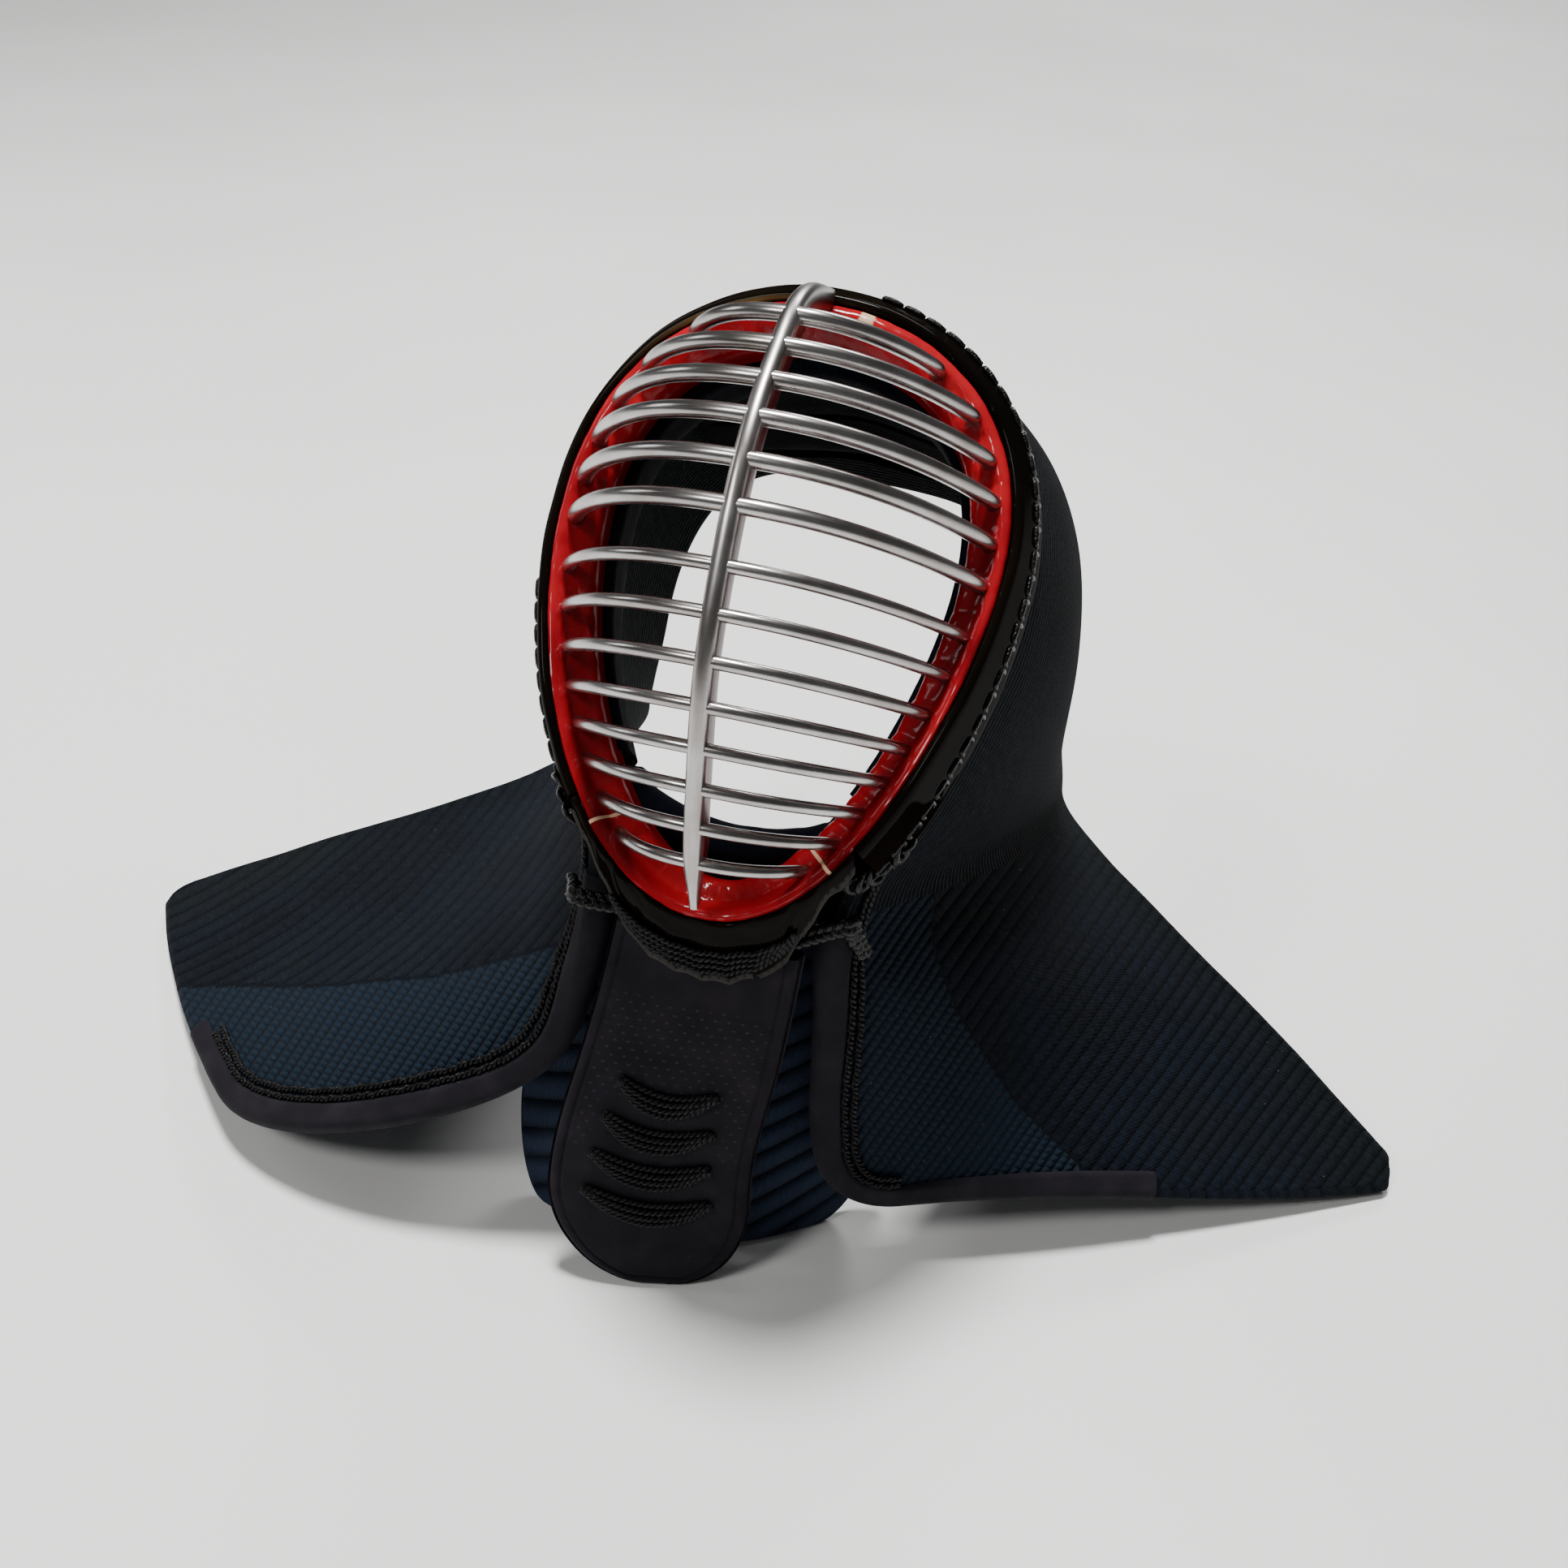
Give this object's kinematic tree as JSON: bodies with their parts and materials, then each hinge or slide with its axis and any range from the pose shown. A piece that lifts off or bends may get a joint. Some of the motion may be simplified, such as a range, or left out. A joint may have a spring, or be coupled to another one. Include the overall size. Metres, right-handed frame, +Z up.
{
  "type": "kendo helmet",
  "caption": "Kendo helmet with a barred steel face guard in a red lacquered facing, a black band, a quilted hood that spreads over the shoulders and throat flaps.",
  "frame": {"origin": "on the floor under the foot of the throat flap, in the middle plane of the face guard", "axes": "+Z up from the floor, +Y from the face to the back of the head, +X to the right of someone who looks at the face"},
  "size_m": [0.7122, 0.3127, 0.4252],
  "materials": {
    "polished_metal": "polished bars and a satin upright bar",
    "red_lacquer": "glossy red lacquer over hide",
    "black_lacquer": "glossy black lacquer over leather",
    "indigo_quilt": "finely quilted dark indigo cotton",
    "dark_suede": "dark purplish suede",
    "black_braid": "black braided cord",
    "navy_pad": "soft navy cotton"
  },
  "bodies": {
    "root": {"grill": "polished_metal", "upper_facing": "red_lacquer", "chin_facing": "red_lacquer", "band": "black_lacquer", "hood": "indigo_quilt", "right_wing": "indigo_quilt", "left_wing": "indigo_quilt", "right_edge_binding": "dark_suede", "left_edge_binding": "dark_suede", "right_corner_braid": "black_braid", "left_corner_braid": "black_braid", "crown_pad": "navy_pad", "inner_ring_pad": "navy_pad", "chin_pad": "navy_pad", "throat_flap": "dark_suede", "inner_throat_flap": "indigo_quilt", "flap_braid_1": "black_braid", "flap_braid_2": "black_braid", "flap_braid_3": "black_braid", "flap_braid_4": "black_braid", "chin_guard": "black_lacquer", "chin_braid": "black_braid", "right_tie_loop": "black_braid", "left_tie_loop": "black_braid"}
  },
  "joints": []
}
